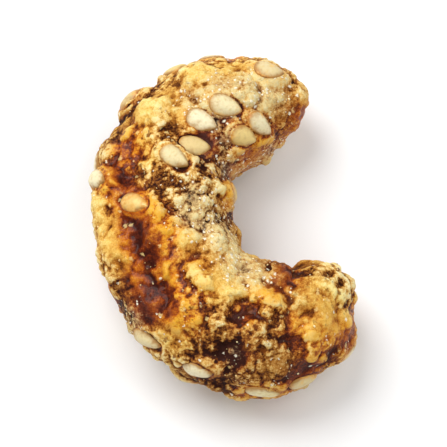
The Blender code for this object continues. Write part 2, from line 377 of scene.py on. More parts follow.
# %% [markdown]
# ## Growing the crust
# The swept kernel has long thin faces, which can't hold fine detail. A voxel remesh covers it in even
# ones. Then every point moves out by the height of the crust. That stretches the faces on steep lumps,
# so a second, finer remesh evens them out again. Hot caramel also creeps up against each seed, and a low
# collar round it is what makes a seed look stuck instead of laid down. Where the crust would go through
# the table it is pressed flat.

# %% Helpers that work on meshes
def object_from(name, data):
    made = bpy.data.objects.new(name, data)
    bpy.context.scene.collection.objects.link(made)
    return made


def apply_modifiers(piece):
    """Makes what the modifiers show the piece's own mesh."""
    bpy.context.view_layer.update()
    graph = bpy.context.evaluated_depsgraph_get()
    made = bpy.data.meshes.new_from_object(piece.evaluated_get(graph))
    piece.modifiers.clear()
    piece.data = made


def even_out(piece, cell):
    """Covers the piece anew in even faces of this size."""
    remesh = piece.modifiers.new("even faces", "REMESH")
    remesh.mode = "VOXEL"
    remesh.voxel_size = cell
    apply_modifiers(piece)


def read(items, name, width=3):
    """What the mesh keeps in these items under this name, as rows of numbers."""
    values = np.empty(len(items) * width)
    items.foreach_get(name, values)
    return values.reshape(-1, width)


def store(data, name, values, kind="FLOAT"):
    """Keeps a number, a vector or a turn for each point of the mesh under this name."""
    attribute = data.attributes.new(name, kind, "POINT")
    word = "vector" if kind == "FLOAT_VECTOR" else "value"
    attribute.data.foreach_set(word, np.asarray(values, np.float32).ravel())


print("mesh helpers ready")

# %% Grow the crust
COARSE_CELL = 0.26 * MM
FINE_CELL = 0.165 * MM
COLLAR_HEIGHT = 0.16 * MM
COLLAR_REACH = 0.55          # how far the collar runs out, as a share of the seed's half size
PRESS_REACH = 1.4            # a place a little way out from a seed, where 1 is its edge
PRESS_RISE = 0.6 * MM        # how high the crust may stand there, over the seed's middle
PRESS_DROP = 0.5 * MM        # and how far below it the crust may lie
PRESS_WOBBLE = 0.35          # how unevenly the crust is shaped, so that no round crater shows


def round_seeds(points, ring, reach):
    """From 0 to 1: how close each point is to a ring round a seed, where 1 is the seed's own edge."""
    half = np.array((SEED_LENGTH, SEED_WIDTH, SEED_LENGTH)) / 2
    nearest = np.full(len(points), 9.0)
    for pose in SEED_POSES:
        local = (points - np.array(pose.translation)) @ np.array(pose.to_3x3())
        nearest = np.minimum(nearest, np.linalg.norm(local / half, axis=1))
    return np.exp(-(((nearest - ring) / reach) ** 2))


def pressed_by_seeds(points):
    """Crust over a seed is pushed down to its rim and crust under it drawn up, less so further out."""
    half = np.array((SEED_LENGTH, SEED_WIDTH)) / 2
    for pose in SEED_POSES:
        turn = np.array(pose.to_3x3())
        local = (points - np.array(pose.translation)) @ turn
        out = (np.linalg.norm(local[:, :2] / half, axis=1) - 1) / (PRESS_REACH - 1)
        near = np.flatnonzero((out < 2) & (np.abs(local[:, 2]) < SEED_LENGTH / 2))
        wobble = np.array([field.noise(Vector(point) / PUSH_SIZE) for point in points[near]])
        out = np.maximum(out[near] + PRESS_WOBBLE * wobble, 0) ** 2
        local[near, 2] = np.clip(local[near, 2], -PRESS_DROP * out, PRESS_RISE * out)
        points[near] = local[near] @ turn.T + np.array(pose.translation)
    return points


crust = object_from("caramel_crust", kernel)
even_out(crust, COARSE_CELL)
start = read(crust.data.vertices, "co")
normals = read(crust.data.vertex_normals, "vector")
height = crust_height(start) + COLLAR_HEIGHT * round_seeds(start, 1.0, COLLAR_REACH)
grown = pressed_by_seeds(start + normals * height[:, None])
grown[:, 2] = np.maximum(grown[:, 2], 0)
crust.data.vertices.foreach_set("co", grown.ravel())
even_out(crust, FINE_CELL)
print("the crust has", len(crust.data.polygons), "even faces")

# %% [markdown]
# ## Patches of caramel, sugar, burnt sugar and painted shade
# The same crust looks different from place to place: dusty where sugar dried, yellow where it toasted,
# amber where it melted, red-brown and glossy where syrup pooled, dark where it burnt. Some dark patches
# are painted shade instead: along the outer edge and on the inner side of the lower tip, shade is laid
# into the colour. A painted texture would fix these to one picture. Here each kind is a list of patches,
# written as numbers on the points of the crust, so that the shape and the colour can both read them. The
# sides and the underside, which the lists leave out, get them from a seeded draw. A thin dark line round
# every seed is partly syrup that gathers there and partly painted shade where the seed meets the crust.

# %% Lay out the patches
# Share along, degrees round, radius in millimetres and strength.
PATCHES = {
    "glaze": (
        (0.36, 42, 1.3, 0.6), (0.40, 42, 1.6, 0.9), (0.44, 49, 1.4, 0.9), (0.50, 63, 1.8, 1.0),
        (0.52, 64, 1.8, 1.0), (0.56, 65, 1.9, 1.0), (0.59, 53, 1.8, 0.9), (0.61, 40, 1.8, 0.9),
        (0.64, 58, 1.5, 0.7), (0.29, 122, 1.4, 0.6), (0.76, 47, 1.7, 0.4), (0.75, 84, 1.3, 0.5),
        (0.83, 62, 1.2, 0.3), (0.86, 34, 1.7, 0.4), (0.15, 113, 0.9, 0.3), (0.97, 128, 1.4, 0.5),
    ),
    # Burnt sugar and painted shade: the patches a few degrees round lie on the outer edge, and those past
    # a share of 0.9 at 130 to 145 degrees lie on the inner side of the lower tip; both paint shade there.
    "burnt": (
        (0.51, 67, 1.5, 0.1), (0.40, 40, 1.5, 0.2), (0.61, 32, 1.9, 0.6), (0.64, 57, 1.2, 0.2),
        (0.75, 45, 1.9, 0.9), (0.75, 84, 1.4, 0.8), (0.83, 62, 1.2, 0.3), (0.29, 122, 1.3, 0.8),
        (0.36, 122, 1.0, 0.5), (0.69, 66, 1.4, 0.3), (0.72, 4, 2.6, 0.8), (0.81, 8, 2.2, 0.6),
        (0.80, 70, 1.5, 0.4), (0.91, 108, 1.6, 0.6), (0.90, 130, 1.7, 0.9), (0.30, 8, 2.0, 0.35),
        (0.57, 31, 1.3, 0.6), (0.88, 8, 2.4, 0.5), (0.43, 94, 1.8, 0.25), (0.15, 113, 0.9, 0.2),
        (0.04, 146, 1.8, 0.6), (0.70, 42, 1.8, 0.4), (0.60, 2, 2.4, 0.7), (0.92, 26, 1.8, 0.4),
        (0.40, 128, 1.4, 0.35), (0.93, 145, 2.2, 0.6), (1.00, 140, 2.2, 0.75), (0.35, 15, 1.8, 0.5),
        (0.17, 158, 1.6, 0.5),
    ),
    "amber": (
        (0.33, 52, 1.7, 0.6), (0.52, 88, 1.6, 0.9), (0.66, 64, 1.9, 0.8), (0.61, 72, 1.3, 0.9),
        (0.65, 92, 1.4, 0.6), (0.81, 112, 1.6, 0.9), (0.44, 152, 1.5, 0.6), (0.92, 48, 2.0, 0.6),
        (0.75, 94, 1.2, 0.5), (0.99, 70, 1.6, 0.4), (0.36, 60, 1.4, 0.6), (0.86, 74, 1.3, 0.6),
        (0.60, 98, 1.3, 0.6), (0.47, 76, 1.2, 0.5), (0.46, 62, 1.6, 0.5), (0.92, 116, 1.3, 0.5),
    ),
    "gold": (
        (0.44, 26, 1.3, 0.8), (0.48, 33, 1.4, 0.9), (0.51, 39, 1.5, 1.0), (0.54, 43, 1.4, 1.0),
        (0.57, 45, 1.0, 0.6), (0.30, 50, 2.2, 0.9), (0.25, 64, 1.8, 0.9), (0.19, 60, 2.2, 0.9),
        (0.12, 62, 2.2, 0.8), (0.04, 84, 2.2, 0.7), (0.66, 40, 1.8, 0.7), (0.66, 110, 2.0, 0.9),
        (0.55, 104, 1.6, 0.8), (0.71, 124, 1.9, 1.0), (0.90, 76, 1.8, 0.7), (0.97, 70, 2.0, 0.8),
        (0.45, 148, 1.6, 0.6), (0.85, 110, 1.4, 0.5), (0.62, 132, 1.6, 0.4), (0.38, 74, 1.5, 0.5),
        (0.60, 76, 1.2, 0.4), (0.46, 62, 1.5, 0.8), (0.81, 38, 1.5, 0.6), (0.60, 102, 1.2, 0.6),
        (0.00, 106, 2.0, 0.6), (1.00, 96, 1.6, 0.5), (0.80, 128, 1.6, 0.9), (1.00, 44, 1.7, 0.8),
        (0.28, 86, 1.2, 0.7), (0.77, 142, 1.4, 0.5),
    ),
    "sugar": (
        (0.02, 94, 2.2, 1.0), (0.09, 90, 2.2, 0.9), (0.16, 80, 2.2, 0.8), (0.23, 80, 1.8, 0.7),
        (0.46, 116, 1.7, 0.8), (0.50, 112, 2.0, 0.9), (0.54, 132, 2.1, 0.9), (0.60, 148, 2.2, 1.0),
        (0.68, 136, 2.0, 0.9), (0.44, 10, 1.8, 0.6), (0.38, 130, 1.3, 0.6), (0.88, 96, 1.6, 0.4),
        (0.75, 50, 1.2, 0.5), (0.10, 118, 1.0, 0.5), (0.77, 18, 1.6, 0.5), (0.30, 66, 1.4, 0.4),
        (0.20, 130, 1.4, 0.8), (0.21, 104, 1.4, 0.7), (0.30, 152, 1.5, 0.7), (0.38, 100, 1.6, 0.4),
        (0.80, 44, 1.6, 0.4), (0.70, 130, 1.9, 1.0), (0.76, 128, 1.6, 0.6),
    ),
}
HIDDEN_PATCHES = {"glaze": 22, "burnt": 20, "amber": 20, "gold": 26, "sugar": 26}
HIDDEN_ROUND = (155, 375)    # degrees round of the sides and the underside
HIDDEN_RADIUS = (1.2, 2.6)
HIDDEN_STRENGTH = (0.5, 0.9)
PATCH_SEED = 23
# The dark line round every seed is partly syrup and partly painted shade where the seed meets the crust.
SYRUP_AND_SHADE_RING = (1.05, 0.12)    # the dark line round a seed and its width, where 1 is the seed's edge
AMBER_RING = (1.35, 0.3)     # and the amber one outside it


def patch_strength(points, rows):
    """From 0 to 1, with soft edges: how strongly these patches cover each point."""
    bare = np.ones(len(points))
    for share, degrees, radius, strength in rows:
        middle = np.array(crust_place(share, degrees)[0])
        away = np.sum((points - middle) ** 2, axis=1) / (radius * MM) ** 2
        bare *= 1 - strength * np.exp(-away)
    return 1 - bare


patch_draw = random.Random(PATCH_SEED)
crust_points = read(crust.data.vertices, "co")
for name, rows in PATCHES.items():
    hidden = random_rows(patch_draw, HIDDEN_PATCHES[name], HIDDEN_ROUND, HIDDEN_RADIUS, HIDDEN_STRENGTH)
    strength = patch_strength(crust_points, [*rows, *hidden])
    store(crust.data, name, strength)
    print(f"{name:6s} covers {100 * np.mean(strength > 0.5):.0f} percent of the crust")
store(crust.data, "seed_line", round_seeds(crust_points, *SYRUP_AND_SHADE_RING))
store(crust.data, "seed_collar", round_seeds(crust_points, *AMBER_RING))

# %% [markdown]
# ## Small helpers for node trees
# Geometry Nodes and shader nodes are wired the same way: add a node, set its sockets, link it to the
# next. These helpers say that in one line each, and find the tree from the sockets that they are given,
# so that the trees below read like formulas.

# %% Helpers that add nodes
def feed(node, values):
    """Links each socket named to another node's, or sets the value on it."""
    for name, value in values.items():
        socket = node.inputs[name]
        if isinstance(value, bpy.types.NodeSocket):
            node.id_data.links.new(value, socket)
        elif socket.type == "RGBA":
            socket.default_value = (*value, 1.0)
        else:
            socket.default_value = value


def add_node(kind, inputs, tree=None, **settings):
    """Adds a node to the tree given, or else to that of the sockets that feed it."""
    if tree is None:
        tree = next(value.id_data for value in inputs.values() if isinstance(value, bpy.types.NodeSocket))
    made = tree.nodes.new(kind)
    for name, value in settings.items():
        setattr(made, name, value)
    feed(made, inputs)
    return made


def output(kind, inputs, tree=None, **settings):
    """Adds a node and gives its first output."""
    return add_node(kind, inputs, tree, **settings).outputs[0]


def calc(operation, *values, clamp=False):
    """One step of arithmetic on numbers."""
    inputs = dict(enumerate(values))
    return output("ShaderNodeMath", inputs, operation=operation, use_clamp=clamp)


def multiply(total, *others):
    """The product of numbers."""
    for other in others:
        total = calc("MULTIPLY", total, other)
    return total


def calc_vector(operation, *values):
    """One step of arithmetic on vectors; SCALE takes a vector and a number."""
    slots = (0, 3) if operation == "SCALE" else (0, 1)
    made = add_node("ShaderNodeVectorMath", dict(zip(slots, values)), operation=operation)
    return made.outputs["Value" if operation == "DOT_PRODUCT" else "Vector"]


def split(vector):
    """The x, y and z of a vector."""
    return add_node("ShaderNodeSeparateXYZ", {0: vector}).outputs


def remap(value, low, high, to_low=0.0, to_high=1.0, smooth=True):
    """The value read between low and high, kept inside, and given out between the other two."""
    inputs = {"Value": value, "From Min": low, "From Max": high, "To Min": to_low, "To Max": to_high}
    return output("ShaderNodeMapRange", inputs, interpolation_type="SMOOTHSTEP" if smooth else "LINEAR")


def mixed(values, start=0.0, **weights):
    """The start, and each of the values named times its weight, added up."""
    for name, weight in weights.items():
        start = calc("MULTIPLY_ADD", values[name], weight, start)
    return start


def noise(vector, scale, detail=2.0, roughness=0.5):
    """Clouds: a number that swings round zero, and a vector that does."""
    inputs = {"Vector": vector, "Scale": scale, "Detail": detail, "Roughness": roughness}
    cloud = add_node("ShaderNodeTexNoise", inputs).outputs
    return calc("SUBTRACT", cloud[0], 0.5), calc_vector("SUBTRACT", cloud[1], (0.5, 0.5, 0.5))


def warped(vector, scale, amount):
    """The place, pushed about by clouds."""
    return calc_vector("ADD", vector, calc_vector("SCALE", noise(vector, scale)[1], amount))


def cells(vector, size):
    """Space split into cells: the distance to the cell's middle, and its own random numbers."""
    made = add_node("ShaderNodeTexVoronoi", {"Vector": vector, "Scale": calc("DIVIDE", 1.0, size)})
    return made.outputs["Distance"], split(made.outputs["Color"])


def new_tree(name, kind, inputs, outputs):
    """An empty tree with named sockets; an input is given by its value, or else by its type."""
    tree = bpy.data.node_groups.new(name, kind)
    for title, value in inputs.items():
        word = value if isinstance(value, str) else type(value).__name__.capitalize()
        socket = tree.interface.new_socket(title, in_out="INPUT", socket_type=f"NodeSocket{word}")
        if word != value:
            socket.default_value = value
    for title, word in outputs.items():
        tree.interface.new_socket(title, in_out="OUTPUT", socket_type=f"NodeSocket{word}")
    return tree, tree.nodes.new("NodeGroupInput").outputs, tree.nodes.new("NodeGroupOutput")


print("node helpers ready")

# %% [markdown]
# ## The colours of caramel
# Sugar turns from cream through gold, amber and red-brown to nearly black as it cooks. So one number,
# how far it has cooked, can stand for most of the crust's colours, and a second says how much of it is
# clear syrup, which is redder and deeper. The group takes the two numbers and gives the colour. The
# crust, the seeds' stains and the crumbs all use it, so they match wherever they meet.

# %% Build the group of caramel colours
DRY_COLOURS = (
    (0.00, (0.012, 0.002, 0.001)),
    (0.14, (0.045, 0.010, 0.002)),
    (0.28, (0.140, 0.042, 0.007)),
    (0.42, (0.330, 0.125, 0.018)),
    (0.54, (0.520, 0.245, 0.055)),
    (0.66, (0.680, 0.400, 0.110)),
    (0.80, (0.810, 0.575, 0.225)),
    (1.00, (0.910, 0.790, 0.450)),
)
SYRUP_COLOURS = (
    (0.00, (0.040, 0.005, 0.002)),
    (0.20, (0.150, 0.020, 0.003)),
    (0.38, (0.370, 0.078, 0.006)),
    (0.56, (0.610, 0.215, 0.016)),
    (0.80, (0.800, 0.420, 0.050)),
)


def colour_ramp(place, stops):
    """The colour at this place between the stops."""
    ramp = add_node("ShaderNodeValToRGB", {"Fac": place})
    while len(ramp.color_ramp.elements) < len(stops):
        ramp.color_ramp.elements.new(1.0)
    for element, (position, colour) in zip(ramp.color_ramp.elements, stops):
        element.position = position
        element.color = (*colour, 1.0)
    return ramp.outputs["Color"]


def mix_colour(share, first, second, blend="MIX"):
    """The first colour, with this share of the second."""
    inputs = {0: share, 6: first, 7: second}
    return add_node("ShaderNodeMix", data_type="RGBA", blend_type=blend, inputs=inputs).outputs[2]


def group(tree, **inputs):
    """A node that uses a group, and gives its first output."""
    return output("ShaderNodeGroup", inputs, node_tree=tree)


inputs = {"Tone": 0.5, "Syrup": 0.0}
CARAMEL, given, out = new_tree("caramel colours", "ShaderNodeTree", inputs, {"Color": "Color"})
dry = colour_ramp(given["Tone"], DRY_COLOURS)
wet = colour_ramp(given["Tone"], SYRUP_COLOURS)
feed(out, {"Color": mix_colour(given["Syrup"], dry, wet)})
print("caramel colours:", len(DRY_COLOURS), "dry and", len(SYRUP_COLOURS), "wet")

# %% [markdown]
# Sugar grains and burnt specks are both small spots at random: cells of a Voronoi texture, of which only
# some are filled. On its own such a texture gives round dots of one size, so the place is pushed about by
# noise first and each spot gets its own size. The group gives a mask, and the material says what colour
# the spots are.

# %% Build the group of specks
SPECK_WARP = 0.25 * MM       # the size of the clouds that push the specks about
SPECK_RADII = (0.25, 0.6)    # of the smallest and the largest speck, in cells

inputs = {"Vector": "Vector", "Size": 0.3 * MM, "Share": 0.3}
SPECKS, given, out = new_tree("specks", "ShaderNodeTree", inputs, {"Mask": "Float"})
pushed_place = warped(given["Vector"], 1 / SPECK_WARP, given["Size"])
distance, chance = cells(pushed_place, given["Size"])
chosen = calc("LESS_THAN", chance[0], given["Share"])
edge = remap(chance[1], 0.0, 1.0, *SPECK_RADII, smooth=False)
spot = remap(distance, multiply(edge, 0.5), edge, 1.0, 0.0)
feed(out, {"Mask": multiply(chosen, spot)})
print("the group of specks has", len(SPECKS.nodes), "nodes")

# %% [markdown]
# ## The crust's material
# The tone starts in the middle. It goes up where the crust stands out and dried first, and down in the
# creases where syrup stayed and cooked on; this is also painted shade and light, which darkens every
# crease and lightens every top. The patches push it further, and noise of four sizes keeps any two
# lumps from looking the same. Gold crust and glaze are calm, so less of all that reaches them, while
# dusty sugar is speckled like pepper and salt, so the finest noise counts for more there.

# %% Work out how far the crust has cooked
CRUST_NOISES = {
    # size in millimetres, detail and roughness
    "clouds": (3.0, 2.0, 0.5),
    "blotches": (0.9, 3.0, 0.5),
    "grain": (0.26, 3.0, 0.7),
    "sand": (0.11, 2.0, 0.5),
}
CRUST_RELIEF = {
    # heights over the surroundings, in millimetres, that count as lowest and highest
    "rise": (-0.16, 0.24),
    "ridge": (-0.07, 0.07),
}
TONE_START = 0.41            # 0 is burnt, 1 is pale sugar
FLOOR_BLEND = 0.2            # how softly the tone meets the darkest that it may be


def empty_material(name):
    """A new material and its shader."""
    material = bpy.data.materials.new(name)
    material.use_nodes = True
    return material, material.node_tree.nodes["Principled BSDF"]


def place_on(material):
    """Where each point of the piece lies."""
    return add_node("ShaderNodeTexCoord", {}, material.node_tree).outputs["Object"]


def stored(material, name):
    """A number that the mesh keeps on its points."""
    return add_node("ShaderNodeAttribute", {}, material.node_tree, attribute_name=name).outputs["Fac"]


def noises(place, table):
    """A cloud of numbers for each row of the table."""
    rows = table.items()
    return {name: noise(place, 1 / (size * MM), *fineness)[0] for name, (size, *fineness) in rows}


CRUST_MATERIAL, shader = empty_material("caramel_crust")
place = place_on(CRUST_MATERIAL)
at = {name: stored(CRUST_MATERIAL, name) for name in (*PATCHES, "seed_line", "seed_collar")}
at |= noises(place, CRUST_NOISES)
for name, (low, high) in CRUST_RELIEF.items():
    at[name] = remap(stored(CRUST_MATERIAL, name), low * MM, high * MM, -0.5, 0.5, smooth=False)
syrupy = calc("MAXIMUM", multiply(at["glaze"], 0.6), at["burnt"])
cooked = calc("MAXIMUM", syrupy, at["seed_line"])
# Painted shade: the crease mask darkens the tone where a point lies well below its wide surroundings.
at["crease"] = remap(at["rise"], -0.5, -0.1, 1.0, 0.0)
calm = mixed(at, gold=1.0, sugar=0.6, glaze=0.9)
uneven = remap(calm, 0.2, 1.0, 1.0, 0.35)
# Partly painted light and shade: rise and ridge lighten the tops and darken the creases.
detail = mixed(at, rise=0.52, ridge=0.34, blotches=0.55)
# Burnt patches and the line round each seed darken the tone: burnt sugar and syrup, and painted shade.
broad = mixed(at, calc("MULTIPLY_ADD", detail, uneven, TONE_START), clouds=0.7, gold=0.27, amber=0.12,
              sugar=0.16, glaze=-0.2, burnt=-0.35, crease=-0.2, seed_line=-0.2, seed_collar=0.12)
broad = calc("SMOOTH_MAX", broad, remap(cooked, 0.15, 0.7, 0.25, -0.1), FLOOR_BLEND)
peppery = multiply(at["grain"], mixed(at, 1.3, sugar=0.9))
fine = mixed(at, peppery, ridge=0.2)
tone = mixed(at, calc("MULTIPLY_ADD", fine, uneven, broad), sand=0.35)
print("nodes that work out the crust's tone:", len(CRUST_MATERIAL.node_tree.nodes))

# %% [markdown]
# The tone and the wetness pick the caramel's colour. Over it come the finishes that one colour can't
# give: chocolate brown where sugar burnt and on the patches of painted shade, yellow where it toasted,
# dust, and three kinds of specks. Gloss follows the same story: syrup is smooth and has a thin clear
# coat, dry sugar is rough and has none.

# %% Make the crust's material
# the colour of burnt sugar, laid also on the patches of painted shade
BURNT_AND_SHADE_TINT = (0.13, 0.045, 0.03)
TOASTED_TINT = (1.05, 1.0, 0.7)
DUST_COLOUR = (0.70, 0.61, 0.32)
CRUST_SPECKS = {
    # size in millimetres, how well they cover, and colour
    "flakes": (0.5, 0.6, (0.90, 0.66, 0.26)),
    "crystals": (0.34, 0.9, (0.95, 0.88, 0.68)),
    "scorched": (0.55, 0.85, (0.18, 0.045, 0.005)),
}
SCORCHED_SHARE = 0.22        # this share of the cells holds a scorched speck
CRUST_BUMP = 0.16 * MM

wet = mixed(at, -0.05, glaze=1.3, amber=0.9, burnt=0.1, seed_line=0.4, seed_collar=0.3, blotches=0.8)
at["syrup"] = remap(wet, 0.0, 0.9)
colour = group(CARAMEL, Tone=tone, Syrup=at["syrup"])
# darker and purple-brown on burnt sugar and on the patches of painted shade
colour = mix_colour(multiply(at["burnt"], 0.22), colour, BURNT_AND_SHADE_TINT)
toasted = remap(mixed(at, gold=1.0, amber=0.8, sugar=-0.6, clouds=1.0), 0.0, 0.8)
colour = mix_colour(toasted, colour, TOASTED_TINT, blend="MULTIPLY")
dust = remap(mixed(at, sugar=0.7, ridge=0.5, grain=1.2), 0.25, 0.95, 0.0, 0.6)
colour = mix_colour(dust, colour, DUST_COLOUR)
shares = {
    "flakes": remap(cooked, 0.1, 0.7, 0.14, 0.03),
    "crystals": remap(at["sugar"], 0.1, 0.8, 0.025, 0.34),
    "scorched": SCORCHED_SHARE,
}
for name, (size, cover, tint) in CRUST_SPECKS.items():
    at[name] = group(SPECKS, Vector=place, Size=size * MM, Share=shares[name])
    if name == "scorched":
        at[name] = multiply(at[name], uneven)
    colour = mix_colour(multiply(at[name], cover), colour, tint)
gloss = mixed(at, 0.15, syrup=0.8, ridge=-0.25, sugar=-0.25)
height = mixed(at, grain=1.0, sand=0.35, blotches=0.5, crystals=0.25, scorched=-0.3)
feed(shader, {
    "Base Color": colour,
    "Roughness": remap(gloss, 0.0, 1.0, 0.65, 0.35),
    "Coat Weight": remap(gloss, 0.0, 1.0, 0.0, 0.18),
    "Coat Roughness": 0.13,
    "Specular IOR Level": 0.05,
    "Normal": output("ShaderNodeBump", {"Height": height, "Distance": CRUST_BUMP}),
})
print("the crust's material has", len(CRUST_MATERIAL.node_tree.nodes), "nodes")

# %% [markdown]
# ## Pebbles and grain
# Close up, the lumps are made of crumbs of every size. Thousands of them follow one rule, which is what
# Geometry Nodes are for. A Voronoi texture splits space into cells, and the distance to a cell's middle
# makes a dome over it, as wide and as high as the cell's own random number says. The place is warped by
# noise first, or the domes would be round like bubbles. Three such layers lie on each other, and fade
# where syrup fills the gaps. Last, each point keeps how far it stands out of its surroundings, near and
# wide, which the material above reads.
# The material also reads these heights as painted shade and light: darker in creases, lighter on tops.

# %% Helpers for Geometry Nodes
LOWEST = (-1.0, -1.0, 0.0)  # no point of the nut may have a lower x, y or z


def read_value(tree, name, kind="FLOAT"):
    """What is stored on the points under this name."""
    made = add_node("GeometryNodeInputNamedAttribute", {"Name": name}, tree, data_type=kind)
    return made.outputs["Attribute"]


def keep_number(geometry, name, value):
    """Stores a number on the points under this name."""
    inputs = {"Geometry": geometry, "Name": name, "Value": value}
    return output("GeometryNodeStoreNamedAttribute", inputs, data_type="FLOAT", domain="POINT")


def set_position(geometry, **where):
    return output("GeometryNodeSetPosition", {"Geometry": geometry, **where})


def above_table(geometry, position):
    return set_position(geometry, Position=calc_vector("MAXIMUM", position, LOWEST))


def dressed(geometry, material):
    """The end of every tree: shaded smooth, made real, and given its material."""
    smooth = output("GeometryNodeSetShadeSmooth", {"Geometry": geometry})
    whole = output("GeometryNodeRealizeInstances", {"Geometry": smooth})
    return output("GeometryNodeSetMaterial", {"Geometry": whole, "Material": material})


def grow(piece, tree, **values):
    """Puts a Geometry Nodes tree on the piece, sets its named inputs, and keeps what it makes."""
    modifier = piece.modifiers.new(tree.name, "NODES")
    modifier.node_group = tree
    for socket in tree.interface.items_tree:
        title = socket.name.replace(" ", "_").lower()
        if title in values:
            modifier[socket.identifier] = values[title]
    apply_modifiers(piece)


print("Geometry Nodes helpers ready")

# %% Build the tree that raises the pebbles
ROUGH_LAYERS = (
    # name, size and height in millimetres
    ("Pebble", 1.60, 0.22),
    ("Crumb", 0.80, 0.15),
    ("Grain", 0.42, 0.08),
)
WARP_SCALE = 0.9             # how many of the clouds that warp a layer fit across one of its cells
DOME_RADII = (0.35, 0.85)    # of the narrowest and the widest dome, in cells
DOME_HEIGHTS = (0.3, 1.0)    # of the same two
DOME_MEAN = 0.16             # their mean height, taken off so that the nut doesn't swell
FILLS = (("glaze", "Glaze Fill"), ("amber", "Melt Fill"), ("gold", "Melt Fill"))
BLURS = (("ridge", 6), ("rise", 60))  # steps of smoothing that make the near and the wide surroundings


def domes(vector, size):
    """Domes of many sizes, one in each cell, from 0 between them to 1 on top of the largest."""
    distance, chance = cells(vector, size)
    radius = remap(chance[0], 0.0, 1.0, *DOME_RADII, smooth=False)
    spread = calc("DIVIDE", distance, radius)
    dome = calc("SUBTRACT", 1.0, multiply(spread, spread), clamp=True)
    return multiply(dome, remap(chance[0], 0.0, 1.0, *DOME_HEIGHTS, smooth=False))


inputs = {"Geometry": "Geometry"}
for name, size, height in ROUGH_LAYERS:
    inputs |= {f"{name} Size": size * MM, f"{name} Height": height * MM}
inputs |= {"Glaze Fill": 0.7, "Melt Fill": 0.5, "Material": "Material"}
tree, given, out = new_tree("pebbles on the crust", "GeometryNodeTree", inputs, {"Geometry": "Geometry"})
position = output("GeometryNodeInputPosition", {}, tree)
normal = output("GeometryNodeInputNormal", {}, tree)
rough = 0.0
for name, _, _ in ROUGH_LAYERS:
    size = given[f"{name} Size"]
    place = warped(position, calc("DIVIDE", WARP_SCALE, size), size)
    layer = calc("SUBTRACT", domes(place, size), DOME_MEAN)
    rough = calc("MULTIPLY_ADD", layer, given[f"{name} Height"], rough)
filled = read_value(tree, "seed_line")
for name, title in FILLS:
    filled = calc("MAXIMUM", filled, multiply(read_value(tree, name), given[title]))
rough = multiply(rough, calc("SUBTRACT", 1.0, filled))
shape = set_position(given["Geometry"], Offset=calc_vector("SCALE", normal, rough))
shape = above_table(shape, position)
for name, steps in BLURS:
    inputs = {"Value": position, "Iterations": steps}
    blurred = output("GeometryNodeBlurAttribute", inputs, data_type="FLOAT_VECTOR")
    above = calc_vector("DOT_PRODUCT", calc_vector("SUBTRACT", position, blurred), normal)
    shape = keep_number(shape, name, above)
feed(out, {"Geometry": dressed(shape, given["Material"])})
grow(crust, tree, material=CRUST_MATERIAL)
for name, _ in BLURS:
    heights = read(crust.data.attributes[name].data, "value", 1) / MM
    print(name, "in mm, from the 5th to the 95th percent:", np.percentile(heights, (5, 50, 95)).round(3))
print("finished crust faces:", len(crust.data.polygons))

# %% [markdown]
# ## The seeds' material
# Hulled sesame is ivory to honey, and each seed carries its own tint. Where a seed sinks into the crust,
# caramel has crept up its side and stained it, and a second number says how much of the seed it covers.
# Each hull is also painted darker low on its flanks and lighter on top, as painted shade.

# %% Make the seeds' material
HULL_COLOURS = (
    (0.00, (0.85, 0.77, 0.54)),
    (0.35, (0.79, 0.69, 0.40)),
    (0.70, (0.66, 0.51, 0.26)),
    (1.00, (0.80, 0.60, 0.22)),
)
WORN_COLOUR = (0.62, 0.45, 0.18)
FLANK_SHADE_COLOUR = (0.42, 0.22, 0.06)
TIP_COLOUR = (0.30, 0.14, 0.03)
SEED_NOISES = {
    # size in millimetres and detail
    "blotches": (0.8, 3.0),
    "mottle": (0.3, 2.0),
    "grain": (0.12, 2.0),
}
SEED_BUMP = 0.08 * MM

SEED_MATERIAL, shader = empty_material("sesame_seed")
names = ("tint", "soak", "height_on_seed", "along_seed")
at = {name: stored(SEED_MATERIAL, name) for name in names}
at |= noises(place_on(SEED_MATERIAL), SEED_NOISES)
worn = remap(mixed(at, mottle=1.5, blotches=1.0, soak=0.2), 0.0, 0.5, 0.0, 0.6)
hull = mix_colour(worn, colour_ramp(at["tint"], HULL_COLOURS), WORN_COLOUR)
# Painted shade: the hull is darkened low on the seed's flanks and left light on top, broken by blotches.
edge = mixed(at, height_on_seed=1.0, blotches=1.2, mottle=0.6)
hull = mix_colour(remap(edge, 0.15, 0.9, 1.0, 0.0), hull, FLANK_SHADE_COLOUR)
hull = mix_colour(remap(at["along_seed"], 0.8, 1.0, 0.0, 0.7), hull, TIP_COLOUR)
creep = mixed(at, height_on_seed=-0.9, blotches=2.6, soak=1.1)
stain = remap(creep, 0.0, 0.6, 0.0, 0.9)
tone = mixed(at, 0.50, blotches=0.6, height_on_seed=0.2, mottle=0.5)
height = mixed(at, grain=0.5, mottle=0.8, blotches=1.0)
bump = {"Height": height, "Strength": 0.7, "Distance": SEED_BUMP}
feed(shader, {
    "Base Color": mix_colour(stain, hull, group(CARAMEL, Tone=tone, Syrup=0.4)),
    "Roughness": remap(stain, 0.0, 1.0, 0.5, 0.35),
    "Coat Weight": remap(stain, 0.0, 1.0, 0.05, 0.3),
    "Coat Roughness": 0.2,
    "Specular IOR Level": 0.2,
    "Subsurface Weight": 0.12,
    "Subsurface Scale": 0.5 * MM,
    "Subsurface Radius": (1.0, 0.7, 0.4),
    "Normal": output("ShaderNodeBump", bump),
})
print("the seeds' material has", len(SEED_MATERIAL.node_tree.nodes), "nodes")

# %% [markdown]
# ## Sesame seeds
# A hulled sesame seed is a flat drop: blunt at one end, pointed at the other, thickest in the middle.
# One could be modelled and copied, but a tree that shapes a sphere by formula keeps its length, width
# and taper as named inputs. The tree sets a seed on each of the loose points that carry a turn, a size
# and a tint. Before the copies are made real, each point keeps how high on its seed it lies, which the
# colour reads. After that, noise dents the seeds, so that no two are alike.

